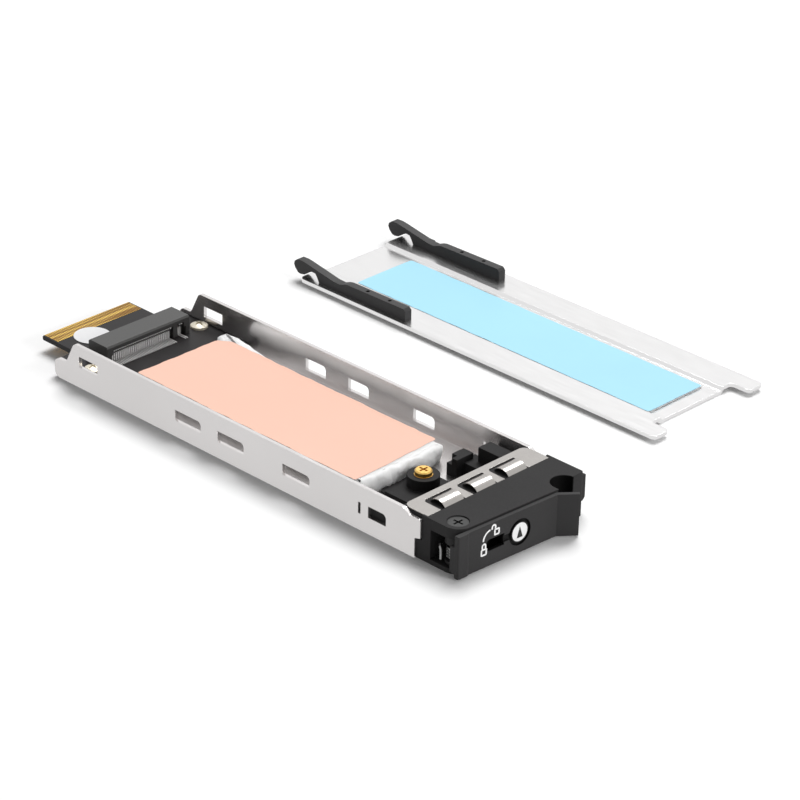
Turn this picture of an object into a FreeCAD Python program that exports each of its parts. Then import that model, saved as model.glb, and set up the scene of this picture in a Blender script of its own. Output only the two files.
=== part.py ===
"""Drive tray with its adapter card: a metal pan that carries a small board with a drive socket,
a thermal pad, a moulded front with an eject handle and lock, and the loose lid beside it.

X runs across the tray, Y from the front panel (negative) to the card edge (positive), Z up.
The origin lies on the resting plane, in the middle of the tray, at the front end of its walls.
"""
import FreeCAD, Part
import math
import os
import Sketcher

Vector = FreeCAD.Vector
doc = FreeCAD.newDocument("drive_tray")
sheet = doc.addObject("Spreadsheet::Sheet", "Sizes")


# ---------------------------------------------------------------- sizes that know their formula
class Size:
    """A length with the formula that gives it in the spreadsheet."""

    def __init__(self, value, text):
        self.value = float(value)
        self.text = text

    def __add__(self, other):
        return Size(self.value + as_size(other).value, "(%s + %s)" % (self.text, as_size(other).text))

    def __radd__(self, other):
        return as_size(other) + self

    def __sub__(self, other):
        return Size(self.value - as_size(other).value, "(%s - %s)" % (self.text, as_size(other).text))

    def __rsub__(self, other):
        return as_size(other) - self

    def __mul__(self, other):
        return Size(self.value * as_size(other).value, "(%s * %s)" % (self.text, as_size(other).text))

    def __rmul__(self, other):
        return as_size(other) * self

    def __truediv__(self, other):
        return Size(self.value / as_size(other).value, "(%s / %s)" % (self.text, as_size(other).text))

    def __neg__(self):
        return self * -1

    def __float__(self):
        return self.value


def as_size(thing):
    return thing if isinstance(thing, Size) else Size(thing, "%.6f" % float(thing))


row_count = 0


def size(alias, millimetres):
    """One driving size, written to the sheet."""
    global row_count
    row_count += 1
    sheet.set("A%d" % row_count, alias)
    sheet.set("B%d" % row_count, str(millimetres))
    sheet.setAlias("B%d" % row_count, alias)
    return Size(millimetres, "Sizes." + alias)


# pan
tray_width = size("tray_width", 34.2)
tray_height = size("tray_height", 9.2)
tray_length = size("tray_length", 100.3)
metal = size("metal", 0.8)
floor_top = size("floor_top", 2.3)
floor_front = size("floor_front", 4.4)
wall_nose = size("wall_nose", 1.4)
nose_bottom = size("nose_bottom", 4.5)
ear_height = size("ear_height", 4.25)
ear_length = size("ear_length", 3.5)
window_low = size("window_low", 3.45)
window_rise = size("window_rise", 2.35)
window_length = size("window_length", 7.3)
# board and drive socket
board_on_floor = size("board_on_floor", 20.3)
shoulder_beyond = size("shoulder_beyond", 0.4)
tongue_length = size("tongue_length", 10.0)
screw_from_edge = size("screw_from_edge", 1.85)
screw_from_rear = size("screw_from_rear", 8.3)
socket_from_rear = size("socket_from_rear", 9.0)
board_thick = size("board_thick", 1.0)
tongue_width = size("tongue_width", 23.0)
finger_length = size("finger_length", 4.2)
copper = size("copper", 0.05)
socket_width = size("socket_width", 21.9)
socket_depth = size("socket_depth", 5.7)
socket_height = size("socket_height", 3.95)
mouth_low = size("mouth_low", 1.75)
mouth_gap = size("mouth_gap", 1.1)
contact_pitch = size("contact_pitch", 0.5)
key_across = size("key_across", 7.4)
# thermal pad, boss
film_overlap = size("film_overlap", 1.0)
boss_rise = size("boss_rise", 2.9)
pad_left = size("pad_left", 12.3)
pad_right = size("pad_right", 10.9)
pad_front = size("pad_front", 19.0)
pad_thick = size("pad_thick", 3.7)
foil = size("foil", 0.1)
boss_along = size("boss_along", 14.4)
boss_radius = size("boss_radius", 3.15)
drive_head = size("drive_head", 1.7)
# front moulding and handle
front_inset = size("front_inset", 0.4)
front_rise = size("front_rise", 0.1)
ledge_drop = size("ledge_drop", 0.3)
handle_drop = size("handle_drop", 0.35)
ridge_from_end = size("ridge_from_end", 9.4)
notch_from_end = size("notch_from_end", 5.7)
nose_drop = size("nose_drop", 0.9)
pivot_along = size("pivot_along", -7.4)
corner = size("corner", 3.1)
top_plate = size("top_plate", 2.2)
base_plate = size("base_plate", 1.0)
front_rear = size("front_rear", 4.0)
fit = size("fit", 0.05)
handle_thick = size("handle_thick", 0.85)
handle_left = size("handle_left", 3.75)
handle_low = size("handle_low", 0.3)
handle_gap = size("handle_gap", 0.12)
handle_turn = size("handle_turn", 3.7)
tab_run = size("tab_run", 3.35)
tab_out = size("tab_out", 2.5)
pivot_shank = size("pivot_shank", 1.0)
lock_across = size("lock_across", 11.6)
lock_head = size("lock_head", 2.05)
strip_sheet = size("strip_sheet", 0.2)
strip_pitch = size("strip_pitch", 8.45)
strip_finger = size("strip_finger", 5.0)
catch_reach = size("catch_reach", 1.6)
notch_radius = size("notch_radius", 2.75)
# lid
lid_apart = size("lid_apart", 30.8)
lid_inset = size("lid_inset", 0.5)
lid_short = size("lid_short", 2.7)
flange_width = size("flange_width", 7.3)
lid_front = size("lid_front", 3.25)
lid_step = size("lid_step", 0.7)
rail_height = size("rail_height", 2.65)
rail_width = size("rail_width", 1.9)
rail_inset = size("rail_inset", 1.15)
rail_inset_far = size("rail_inset_far", 1.8)
doc.recompute()

half = tray_width / 2
inner = half - metal
board_top = floor_top + board_thick
nose_top = tray_height - nose_drop
board_front = tray_length - board_on_floor
board_shoulder = tray_length + shoulder_beyond
tongue_rear = board_shoulder + tongue_length
screw_across = inner - 0.25 - screw_from_edge
screw_along = tray_length - screw_from_rear
socket_front = tray_length - socket_from_rear
pad_rear = board_front + film_overlap
boss_top = floor_top + boss_rise
front_half = half - front_inset
front_top = tray_height + front_rise
ledge_top = front_top - ledge_drop
pivot_across = corner - front_half
handle_top = front_top - handle_drop
handle_ridge = front_half - pivot_across - ridge_from_end
notch_across = front_half - notch_from_end
lock_up = tray_height / 2
lid_half = half - lid_inset
lid_across = half + lid_apart + lid_half
lid_rear = tray_length - lid_short
lid_channel = lid_half - flange_width
handle_face = corner + handle_gap + handle_thick
slope = Size(math.tan(math.radians(float(handle_turn))), "tan(Sizes.handle_turn)")


# ---------------------------------------------------------------- sketch and feature helpers
def bind(thing, prop, formula):
    thing.setExpression(prop, as_size(formula).text)


def new_body(label):
    body = doc.addObject("PartDesign::Body", label)
    body.Label = label
    parts.append(body)
    return body


def origin_item(body, role):
    return next(item for item in body.Origin.OriginFeatures if item.Role == role)


def new_sketch(body, role, offset=0.0):
    """A sketch on one of the body's origin planes, moved along the plane's normal."""
    sketch = body.newObject("Sketcher::SketchObject", body.Label + "_sketch")
    sketch.AttachmentSupport = [(origin_item(body, role), "")]
    sketch.MapMode = "FlatFace"
    bind(sketch, ".AttachmentOffset.Base.z", offset)
    return sketch


def pin_point(sketch, geometry, end, across, up):
    """Fix one point of a sketch at two formulas."""
    for kind, formula in (("DistanceX", across), ("DistanceY", up)):
        index = sketch.addConstraint(Sketcher.Constraint(kind, -1, 1, geometry, end, float(formula)))
        if isinstance(formula, Size):
            sketch.setExpression("Constraints[%d]" % index, formula.text)


def outline(sketch, corners):
    """A closed run of straight lines through the given corners."""
    points = [Vector(float(across), float(up), 0) for across, up in corners]
    first = sketch.GeometryCount
    count = len(points)
    for i in range(count):
        sketch.addGeometry(Part.LineSegment(points[i], points[(i + 1) % count]), False)
    for i in range(count):
        sketch.addConstraint(Sketcher.Constraint("Coincident", first + i, 2,
                                                 first + (i + 1) % count, 1))
    for i, (across, up) in enumerate(corners):
        pin_point(sketch, first + i, 1, across, up)


def rectangle(sketch, left, low, right, high):
    outline(sketch, [(left, low), (right, low), (right, high), (left, high)])


def circle(sketch, across, up, radius):
    centre = Vector(float(across), float(up), 0)
    index = sketch.GeometryCount
    sketch.addGeometry(Part.Circle(centre, Vector(0, 0, 1), float(radius)), False)
    pin_point(sketch, index, 3, across, up)
    constraint = sketch.addConstraint(Sketcher.Constraint("Radius", index, float(radius)))
    sketch.setExpression("Constraints[%d]" % constraint, as_size(radius).text)


def feature(body, kind, sketch, length, reverse, both):
    item = body.newObject("PartDesign::" + kind, body.Label + "_" + kind.lower())
    item.Profile = sketch
    bind(item, "Length", length)
    item.Reversed = reverse
    item.Midplane = both
    sketch.Visibility = False
    body.Tip = item
    doc.recompute()
    return item


def pad(body, sketch, length, reverse=False, both=False):
    return feature(body, "Pad", sketch, length, reverse, both)


def pocket(body, sketch, length, reverse=False, both=False):
    """A pocket, which has to take material away."""
    before = body.Shape.Volume
    item = feature(body, "Pocket", sketch, length, reverse, both)
    if body.Shape.Volume > before - 1e-6:
        raise RuntimeError("%s cuts nothing" % item.Name)
    return item


def rounded(body, radius, test, kind="Fillet"):
    """A fillet or a chamfer on the straight edges whose middle and direction pass the test."""
    tip = body.Tip
    names = []
    for index, edge in enumerate(tip.Shape.Edges, start=1):
        middle = edge.valueAt((edge.FirstParameter + edge.LastParameter) / 2)
        if edge.Curve.TypeId == "Part::GeomLine" and test(middle, edge.Curve.Direction):
            names.append("Edge%d" % index)
    if not names:
        raise RuntimeError("%s has no edge to round" % body.Label)
    item = body.newObject("PartDesign::" + kind, body.Label + "_" + kind.lower())
    item.Base = (tip, names)
    bind(item, "Radius" if kind == "Fillet" else "Size", radius)
    body.Tip = item
    doc.recompute()
    if item.Shape.isNull() or not item.isValid():
        raise RuntimeError("%s does not round at %s" % (body.Label, names))
    return item


def near(a, b, tolerance=0.03):
    return abs(float(a) - float(b)) < tolerance


def along_z(direction):
    return abs(direction.z) > 0.99


def along_x(direction):
    return abs(direction.x) > 0.99


def turned(body, kind, profile, across=0.0, along=0.0):
    """Material added (Revolution) or taken (Groove) about an upright line."""
    sketch = new_sketch(body, "XZ_Plane", -1 * as_size(along))
    outline(sketch, [(as_size(across) + radius, up) for radius, up in profile])
    axis = sketch.GeometryCount
    foot = Vector(float(across), -1, 0)
    sketch.addGeometry(Part.LineSegment(foot, foot + Vector(0, 20, 0)), True)
    pin_point(sketch, axis, 1, across, -1.0)
    pin_point(sketch, axis, 2, across, 19.0)
    turn = body.newObject("PartDesign::" + kind, body.Label + "_" + kind.lower())
    turn.Profile = sketch
    turn.ReferenceAxis = (sketch, ["Axis0"])
    turn.Angle = 360.0
    sketch.Visibility = False
    body.Tip = turn
    doc.recompute()
    return turn


def cross_recess(body, top, reach, width, depth):
    """A cross for the screwdriver, sunk from the given height."""
    for long, short in ((reach, width), (width, reach)):
        cut = new_sketch(body, "XY_Plane", top)
        rectangle(cut, -1 * long, -1 * short, long, short)
        pocket(body, cut, depth)


def placed(body, across=0.0, along=0.0, up=0.0):
    bind(body, ".Placement.Base.x", across)
    bind(body, ".Placement.Base.y", along)
    bind(body, ".Placement.Base.z", up)


def group(label, solids):
    """Identical small pieces that share one node."""
    item = doc.addObject("Part::Feature", label)
    item.Label = label
    item.Shape = Part.makeCompound(solids)
    parts.append(item)


parts = []

# ---------------------------------------------------------------- pan
# A channel with its floor raised off the lower rims, ears at the rear and a nose at the front
# of each wall, and windows through both walls.
pan = new_body("tray_pan")
section = new_sketch(pan, "XZ_Plane", wall_nose)
outline(section, [
    (-half, 0), (-inner, 0), (-inner, floor_top - metal), (inner, floor_top - metal),
    (inner, 0), (half, 0), (half, tray_height), (inner, tray_height),
    (inner, floor_top), (-inner, floor_top), (-inner, tray_height), (-half, tray_height)])
pad(pan, section, tray_length + wall_nose, reverse=True)
side_cut = new_sketch(pan, "YZ_Plane")
ear_foot = tray_length - ear_length
outline(side_cut, [
    (ear_foot - 2.5, tray_height), (ear_foot, ear_height), (tray_length + 2, ear_height),
    (tray_length + 2, tray_height + 2), (ear_foot - 2.5, tray_height + 2)])
outline(side_cut, [
    (-wall_nose - 1, nose_top), (1.3, nose_top), (3.0, tray_height), (3.0, tray_height + 2),
    (-wall_nose - 1, tray_height + 2)])
outline(side_cut, [
    (-wall_nose - 1, -1), (0, -1), (0, nose_bottom - 0.4), (-wall_nose - 1, nose_bottom + 0.3)])
pocket(pan, side_cut, tray_width + 2, both=True)
floor_cut = new_sketch(pan, "XY_Plane")
rectangle(floor_cut, -inner, -wall_nose - 1, inner, floor_front)
rectangle(floor_cut, -inner, tray_length - 2.2, inner, tray_length + 1)
pocket(pan, floor_cut, floor_top + 1, reverse=True)
for side, shorter in ((-1, 0.0), (1, 1.6)):
    windows = new_sketch(pan, "YZ_Plane", side * (half + 1))
    for start, length in ((27.3, window_length - shorter), (45.2, window_length - shorter),
                          (57.2, window_length - shorter), (7.3, window_length - 2.7), (13.85, 0.65)):
        rectangle(windows, start, window_low, start + length, window_low + window_rise + shorter / 6)
    rectangle(windows, tray_length - 13, window_low + 1.1, tray_length - 14.8 + window_length,
              window_low + window_rise + 1.1)
    pocket(pan, windows, metal + 2, reverse=side < 0)
threads = new_sketch(pan, "XY_Plane")
for side in (-1, 1):
    circle(threads, side * screw_across, screw_along, 0.97)
pocket(pan, threads, floor_top + 0.5, reverse=True)
rounded(pan, 1.5, lambda p, d: along_x(d) and near(p.y, tray_length))
rounded(pan, 1.2, lambda p, d: along_x(d) and near(p.y, ear_foot - 2.5) and near(p.z, tray_height))
rounded(pan, 0.9, lambda p, d: along_x(d) and near(p.y, ear_foot) and near(p.z, ear_height))
rounded(pan, 0.9, lambda p, d: along_x(d) and near(p.z, nose_top) and near(p.y, 1.3))
rounded(pan, 1.0, lambda p, d: along_x(d) and near(p.z, tray_height) and near(p.y, 3.0))
rounded(pan, 0.5, lambda p, d: along_x(d) and near(p.z, nose_top) and near(p.y, -wall_nose))
rounded(pan, 0.9, lambda p, d: along_x(d) and abs(p.z - float(window_low + window_rise) - 0.15) < 0.2
        and (near(p.y, 27.3) or near(p.y, 45.2) or near(p.y, 57.2) or near(p.y, 7.3)))

# ---------------------------------------------------------------- board and card edge
board = new_body("adapter_board")
board_half = inner - 0.25
tongue_half = tongue_width / 2
plan = new_sketch(board, "XY_Plane")
outline(plan, [
    (-board_half, board_front), (board_half, board_front), (board_half, board_shoulder),
    (tongue_half, board_shoulder), (tongue_half, tongue_rear), (-tongue_half, tongue_rear),
    (-tongue_half, board_shoulder), (-board_half, board_shoulder)])
pad(board, plan, board_thick)
bores = new_sketch(board, "XY_Plane")
for side in (-1, 1):
    circle(bores, side * screw_across, screw_along, 1.05)
pocket(board, bores, board_thick + 1, reverse=True)
rounded(board, 0.7, lambda p, d: along_z(d) and near(p.y, board_shoulder) and abs(p.x) > 12)
rounded(board, 0.2, lambda p, d: along_x(d) and near(p.y, tongue_rear), "Chamfer")
placed(board, up=floor_top)

finger_count = int(float((tongue_width - 0.4) / contact_pitch))
fingers = []
for i in range(finger_count):
    x = (i - (finger_count - 1) / 2) * float(contact_pitch) - 0.175
    y = float(tongue_rear - 0.22 - finger_length)
    for z in (float(board_top), float(floor_top - copper)):
        fingers.append(Part.makeBox(0.35, float(finger_length), float(copper), Vector(x, y, z)))
group("edge_contacts", fingers)

# Pan-head screws hold the board down to the pan, each on a bare plated ring.
rings = []
screws = []
for side in (-1, 1):
    spot = Vector(side * float(screw_across), float(screw_along), float(board_top))
    ring = Part.makeCylinder(1.82, float(copper), spot)
    rings.append(ring.cut(Part.makeCylinder(1.05, 1, spot - Vector(0, 0, 0.5))))
    seat = spot + Vector(0, 0, float(copper))
    dome = Part.makeSphere(3.2, seat - Vector(0, 0, 2.3))
    head = Part.makeCylinder(1.78, 1.0, seat).common(dome)
    bar = Part.makeBox(1.9, 0.4, 1, seat + Vector(-0.95, -0.2, 0.4))
    other = Part.makeBox(0.4, 1.9, 1, seat + Vector(-0.2, -0.95, 0.4))
    reach = float(board_thick + copper + metal) - 0.1
    shank = Part.makeCylinder(0.95, reach, seat - Vector(0, 0, reach))
    screws.append(head.cut(bar).cut(other).fuse(shank))
group("board_screw_rings", rings)
group("board_screws", screws)

# ---------------------------------------------------------------- drive socket
# An edge connector lying flat: a roof over the mouth, a lower sill, end walls and a key.
socket = new_body("drive_socket")
socket_half = socket_width / 2
foot = new_sketch(socket, "XY_Plane")
rectangle(foot, -socket_half, 0, socket_half, socket_depth)
pad(socket, foot, socket_height)
mouth = new_sketch(socket, "YZ_Plane")
rectangle(mouth, -1, mouth_low, socket_depth - 1.6, mouth_low + mouth_gap)
pocket(socket, mouth, socket_width - 3, both=True)
sill = new_sketch(socket, "YZ_Plane")
rectangle(sill, -1, -1, 1.1, mouth_low + 0.1)
pocket(socket, sill, socket_width - 2, both=True)
key = new_sketch(socket, "XY_Plane")
rectangle(key, key_across - 0.6, 0.3, key_across + 0.6, socket_depth - 1)
pad(socket, key, mouth_low + mouth_gap + 0.3)
horns = new_sketch(socket, "XY_Plane")
for side in (-1, 1):
    rectangle(horns, side * (socket_half - 0.3), socket_depth - 1.8, side * (socket_half + 1.1), socket_depth - 0.3)
pad(socket, horns, 1.1)
rounded(socket, 0.35, lambda p, d: along_x(d) and near(p.z, socket_height), "Chamfer")
placed(socket, along=socket_front, up=board_top)

contact_count = int(float((socket_width - 3.4) / contact_pitch))
blades = []
for i in range(contact_count):
    x = (i - (contact_count - 1) / 2) * float(contact_pitch)
    if abs(x - float(key_across)) < 0.95:
        continue
    sill_top = float(mouth_low) - 0.05
    side_view = [(-1.6, 0.0), (-1.6, 0.15), (0.72, 0.15), (0.72, sill_top), (1.05, sill_top), (1.05, 0.0)]
    corners = [Vector(x - 0.1, float(socket_front) + y, float(board_top) + z)
               for y, z in side_view + side_view[:1]]
    blades.append(Part.Face(Part.makePolygon(corners)).extrude(Vector(0.2, 0, 0)))
    roof = float(board_top + mouth_low + mouth_gap)
    blades.append(Part.makeBox(0.2, 3.2, 0.35, Vector(x - 0.1, float(socket_front) + 0.15, roof - 0.35)))
group("drive_socket_contacts", blades)

# ---------------------------------------------------------------- thermal pad, its film, paper label
thermal = new_body("thermal_pad")
soft = new_sketch(thermal, "XY_Plane")
rectangle(soft, -pad_left, pad_front, pad_right, board_front - 0.1)
pad(thermal, soft, pad_thick)
rounded(thermal, 0.6, lambda p, d: along_z(d))
placed(thermal, up=floor_top)
film = new_body("pad_film")
sheet_plan = new_sketch(film, "XY_Plane")
outline(sheet_plan, [
    (0.8 - pad_left, pad_front + 1.6), (pad_right - 0.2, pad_front + 2.2), (pad_right - 0.2, pad_rear - 2.4),
    (pad_right - 1.9, pad_rear), (0.8 - pad_left, pad_rear)])
pad(film, sheet_plan, foil)
placed(film, up=floor_top + pad_thick)
label = new_body("round_label")
turned(label, "Revolution", [(0, 0), (3.8, 0), (3.8, foil / 2), (0, foil / 2)])
placed(label, across=-4.3, along=board_shoulder + 3, up=board_top + copper)

# ---------------------------------------------------------------- drive boss, insert and screw
boss = new_body("drive_boss")
foot = new_sketch(boss, "XY_Plane")
rectangle(foot, -7.7, front_rear + 0.5, 4.2, boss_along + 4.1)
pad(boss, foot, 0.7)
column = new_sketch(boss, "XY_Plane")
circle(column, 0, boss_along, boss_radius)
pad(boss, column, boss_top - floor_top)
lip = new_sketch(boss, "XY_Plane")
rectangle(lip, -7.7, front_rear + 0.5, -6.9, boss_along + 2.6)
pad(boss, lip, 1.1)
bore = new_sketch(boss, "XY_Plane")
circle(bore, 0, boss_along, drive_head + 0.1)
pocket(boss, bore, boss_top, reverse=True)
rounded(boss, 1.2, lambda p, d: along_z(d) and near(p.y, boss_along + 4.1))
placed(boss, up=floor_top)
insert = new_body("boss_insert")
turned(insert, "Revolution", [
    (0.85, 0), (drive_head + 0.1, 0), (drive_head + 0.1, boss_top - floor_top),
    (0.85, boss_top - floor_top)])
placed(insert, along=boss_along, up=floor_top)
drive_screw = new_body("drive_screw")
turned(drive_screw, "Revolution", [
    (0, 0), (0.83, 0), (0.83, 2.2), (drive_head, 2.2), (drive_head, 2.95), (drive_head - 0.25, 3.2),
    (0, 3.2)])
cross_recess(drive_screw, 3.2, 1.0, 0.22, 0.5)
placed(drive_screw, along=boss_along, up=boss_top - 2.2)

# ---------------------------------------------------------------- front moulding
# A block between two plates, open at the left for the hinge, with a finger recess behind the
# handle's tab, a ledge for the spring strip, and blocks that reach over the pan's floor.
front = new_body("front_bezel")
nose_end = -wall_nose - fit
block = new_sketch(front, "XY_Plane")
reach_out = pivot_along - corner - slope * (notch_across - notch_radius + 0.5 - pivot_across)
outline(block, [
    (-front_half, pivot_along - corner), (pivot_across, pivot_along - corner),
    (notch_across - notch_radius + 0.5, reach_out), (notch_across - notch_radius + 0.5, pivot_along - corner),
    (front_half, pivot_along - corner), (front_half, nose_end), (-front_half, nose_end)])
pad(front, block, front_top)
lower = new_sketch(front, "XY_Plane")
rectangle(lower, -front_half, nose_end - 1, front_half, -fit)
pad(front, lower, nose_bottom - 0.4 - fit)
middle = new_sketch(front, "XY_Plane")
rectangle(middle, fit - inner, nose_end - 1, inner - fit, front_rear)
pad(front, middle, ledge_top)
ledge = new_sketch(front, "XY_Plane", front_top)
rectangle(ledge, fit - inner, -1.95, inner - fit, front_rear + 1)
pocket(front, ledge, front_top - ledge_top)
groove = new_sketch(front, "XY_Plane", front_top)
rectangle(groove, fit - inner, -2.45, inner - fit, -1.95)
pocket(front, groove, 1.45)
hinge_room = new_sketch(front, "XY_Plane", base_plate)
outline(hinge_room, [
    (-front_half - 1, pivot_along - corner - 4), (notch_across, pivot_along - corner - 4),
    (notch_across, pivot_along - 1), (pivot_across + 2.7, pivot_along - 1),
    (pivot_across + 2.7, pivot_along + 3.8), (-front_half - 1, pivot_along + 3.8)])
pocket(front, hinge_room, front_top - top_plate - base_plate, reverse=True)
notch_along = pivot_along - corner - 0.35
thumb = new_sketch(front, "XY_Plane", base_plate)
circle(thumb, notch_across, notch_along, notch_radius)
pocket(front, thumb, front_top, reverse=True)
mouth_cut = new_sketch(front, "XY_Plane", base_plate)
rectangle(mouth_cut, notch_across - notch_radius, notch_along - 3, notch_across + notch_radius, notch_along)
pocket(front, mouth_cut, front_top, reverse=True)
catch_slot = new_sketch(front, "YZ_Plane", front_half - 2.2)
rectangle(catch_slot, pivot_along - corner + 0.5, 2.6, pivot_along + 0.45, front_top - 1.25)
pocket(front, catch_slot, 5, reverse=True)
turned(front, "Groove", [
    (0, 0.3), (pivot_shank + fit, 0.3), (pivot_shank + fit, front_top - 1.1), (2.1, front_top - 0.15),
    (2.1, front_top + 1), (0, front_top + 1)], pivot_across, pivot_along)
stand_up = floor_top + 0.02
for left, low, right, high, drop in (
        (0.1 - inner, front_rear - 1, 3.7 - inner, 14.8, 3.3), (inner - 9.4, 12.4, inner - 4.9, 15.0, 3.1),
        (inner - 7.4, front_rear - 1, inner - 3.4, 13.4, 4.3), (inner - 5.1, front_rear - 1, inner - 0.5, 11.0, 1.3)):
    post = new_sketch(front, "XY_Plane", stand_up)
    rectangle(post, left, low, right, high)
    pad(front, post, front_top - drop - stand_up)
notch = new_sketch(front, "XY_Plane", front_top - 3.1)
rectangle(notch, inner - 10.3, 13.7, inner - 8, 16.0)
pocket(front, notch, 1.4)
rounded(front, corner - 0.01, lambda p, d: along_z(d) and near(p.x, -front_half)
        and near(p.y, pivot_along - corner))
rounded(front, 0.45, lambda p, d: along_z(d) and near(p.x, front_half) and near(p.y, pivot_along - corner))
rounded(front, 1.3, lambda p, d: abs(d.y) > 0.99 and near(p.z, front_top - 1.3)
        and near(p.x, inner - 0.5), "Chamfer")

# ---------------------------------------------------------------- spring strip on the ledge
# Folded spring sheet: flat behind, a lip down into the groove in front, three arched fingers.
strip = new_body("spring_strip")
flat = new_sketch(strip, "XY_Plane", ledge_top)
rectangle(flat, 0.15 - inner, -2.2, inner - 0.15, front_rear - 0.1)
pad(strip, flat, strip_sheet)
lip = new_sketch(strip, "XY_Plane", ledge_top + strip_sheet)
rectangle(lip, 0.15 - inner, -2.35, inner - 0.15, -2.35 + strip_sheet)
pad(strip, lip, 1.1 + strip_sheet, reverse=True)
first_finger = -1 * (strip_pitch + strip_finger / 2 + 0.65)
window = new_sketch(strip, "XY_Plane", ledge_top + strip_sheet)
outline(window, [
    (first_finger - 1.1, -3), (first_finger + strip_finger + 0.3, -3),
    (first_finger + strip_finger + 0.3, 1.7), (first_finger + strip_finger + 1.0, 1.7),
    (first_finger + strip_finger + 1.0, 2.3), (first_finger - 0.5, 2.3), (first_finger - 1.1, 1.7)])
opening = pocket(strip, window, strip_sheet + 0.5)
arch = new_sketch(strip, "YZ_Plane", first_finger)


def three_point_arc(sketch, start, middle, end):
    """An arc held by its two ends and its radius; returns its index."""
    ends = [Vector(float(a), float(b), 0) for a, b in (start, middle, end)]
    round_through = Part.Arc(*ends).toShape().Curve
    angles = [math.atan2(p.y - round_through.Center.y, p.x - round_through.Center.x) for p in ends]
    to_middle, to_end = [(angle - angles[0]) % (2 * math.pi) for angle in angles[1:]]
    anticlockwise = to_middle < to_end
    first, last = (1, 2) if anticlockwise else (2, 1)
    span = (angles[0], angles[2]) if anticlockwise else (angles[2], angles[0])
    upright = Part.Circle(round_through.Center, Vector(0, 0, 1), round_through.Radius)
    index = sketch.GeometryCount
    sketch.addGeometry(Part.ArcOfCircle(upright, *span), False)
    pin_point(sketch, index, first, *start)
    pin_point(sketch, index, last, *end)
    sketch.addConstraint(Sketcher.Constraint("Radius", index, round_through.Radius))
    return index, first, last


def line(sketch, start, end):
    index = sketch.GeometryCount
    sketch.addGeometry(Part.LineSegment(Vector(float(start[0]), float(start[1]), 0),
                                        Vector(float(end[0]), float(end[1]), 0)), False)
    return index


low = ledge_top - 0.7
outer_foot = (-2.35, ledge_top - 0.1)
outer_tip = (1.55, ledge_top + strip_sheet)
inner_foot = (-2.35 + strip_sheet, ledge_top - 0.1)
inner_tip = (1.45, ledge_top + 0.02)
outer_arc = three_point_arc(arch, outer_tip, (-0.7, ledge_top + 1.05), outer_foot)
inner_arc = three_point_arc(arch, inner_tip, (-0.7, ledge_top + 1.05 - strip_sheet), inner_foot)
tip_line = line(arch, outer_tip, inner_tip)
outer_leg = line(arch, outer_foot, (-2.35, low))
sole = line(arch, (-2.35, low), (-2.35 + strip_sheet, low))
inner_leg = line(arch, (-2.35 + strip_sheet, low), inner_foot)
arch.addConstraint(Sketcher.Constraint("Coincident", tip_line, 1, outer_arc[0], outer_arc[1]))
arch.addConstraint(Sketcher.Constraint("Coincident", tip_line, 2, inner_arc[0], inner_arc[1]))
arch.addConstraint(Sketcher.Constraint("Coincident", outer_leg, 1, outer_arc[0], outer_arc[2]))
arch.addConstraint(Sketcher.Constraint("Coincident", outer_leg, 2, sole, 1))
arch.addConstraint(Sketcher.Constraint("Coincident", sole, 2, inner_leg, 1))
arch.addConstraint(Sketcher.Constraint("Coincident", inner_leg, 2, inner_arc[0], inner_arc[2]))
pin_point(arch, sole, 1, -2.35, low)
pin_point(arch, sole, 2, -2.35 + strip_sheet, low)
finger = pad(strip, arch, strip_finger)
row = strip.newObject("PartDesign::LinearPattern", "spring_strip_row")
row.Originals = [opening, finger]
row.Direction = (origin_item(strip, "X_Axis"), [""])
bind(row, "Length", strip_pitch * 2)
row.Occurrences = 3
strip.Tip = row
doc.recompute()
rounded(strip, 1.6, lambda p, d: along_z(d) and near(p.y, front_rear - 0.1))

# ---------------------------------------------------------------- eject handle
# Drawn about its own pivot: X along the face, Y inwards. A face plate with a flared tab, and
# two ears to a hub that turns on the pivot screw.
handle = new_body("eject_handle")
face_inside = -corner - handle_gap
plan = new_sketch(handle, "XY_Plane", handle_low)
outline(plan, [
    (-handle_left, -handle_face), (handle_ridge, -handle_face),
    (handle_ridge + tab_run, -handle_face - tab_out),
    (handle_ridge + tab_run + 0.54, -handle_face - tab_out + 0.72),
    (handle_ridge + 0.42, face_inside), (-handle_left, face_inside)])
pad(handle, plan, handle_top - handle_low)
rim = new_sketch(handle, "XY_Plane", handle_low)
outline(rim, [
    (-handle_left, -handle_face - 0.25), (-handle_left + 2.3, -handle_face - 0.25),
    (-handle_left + 2.9, -handle_face + 0.1), (-handle_left, -handle_face + 0.1)])
pad(handle, rim, handle_top - handle_low)
ear_low = front_top - top_plate - 2.0
for low, high in ((base_plate + 0.1, base_plate + 0.7), (ear_low, ear_low + 1.9)):
    ear = new_sketch(handle, "XY_Plane", low)
    rectangle(ear, -1.6, face_inside - 0.2, 1.6, 0)
    pad(handle, ear, high - low)
    cheek = new_sketch(handle, "XY_Plane", low)
    circle(cheek, 0, 0, 2.25)
    pad(handle, cheek, high - low)
sleeve = new_sketch(handle, "XY_Plane", base_plate + 0.5)
circle(sleeve, 0, 0, 1.5)
pad(handle, sleeve, ear_low - base_plate - 0.3)
rib = new_sketch(handle, "XY_Plane", base_plate + 0.1)
rectangle(rib, -3.7, face_inside - 0.2, -1.6, -2.0)
pad(handle, rib, front_top - top_plate - base_plate - 0.8)
bore = new_sketch(handle, "XY_Plane")
circle(bore, 0, 0, pivot_shank + fit)
pocket(handle, bore, 20, reverse=True)
bearing = new_sketch(handle, "XZ_Plane", -1 * (face_inside + 0.9))
circle(bearing, lock_across, lock_up, 2.3)
pad(handle, bearing, 1.1)
keyhole = new_sketch(handle, "XZ_Plane", handle_face + 1)
circle(keyhole, lock_across, lock_up, lock_head + 0.65)
pocket(handle, keyhole, 1.5)
channel = new_sketch(handle, "XZ_Plane", handle_face + 1)
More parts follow.
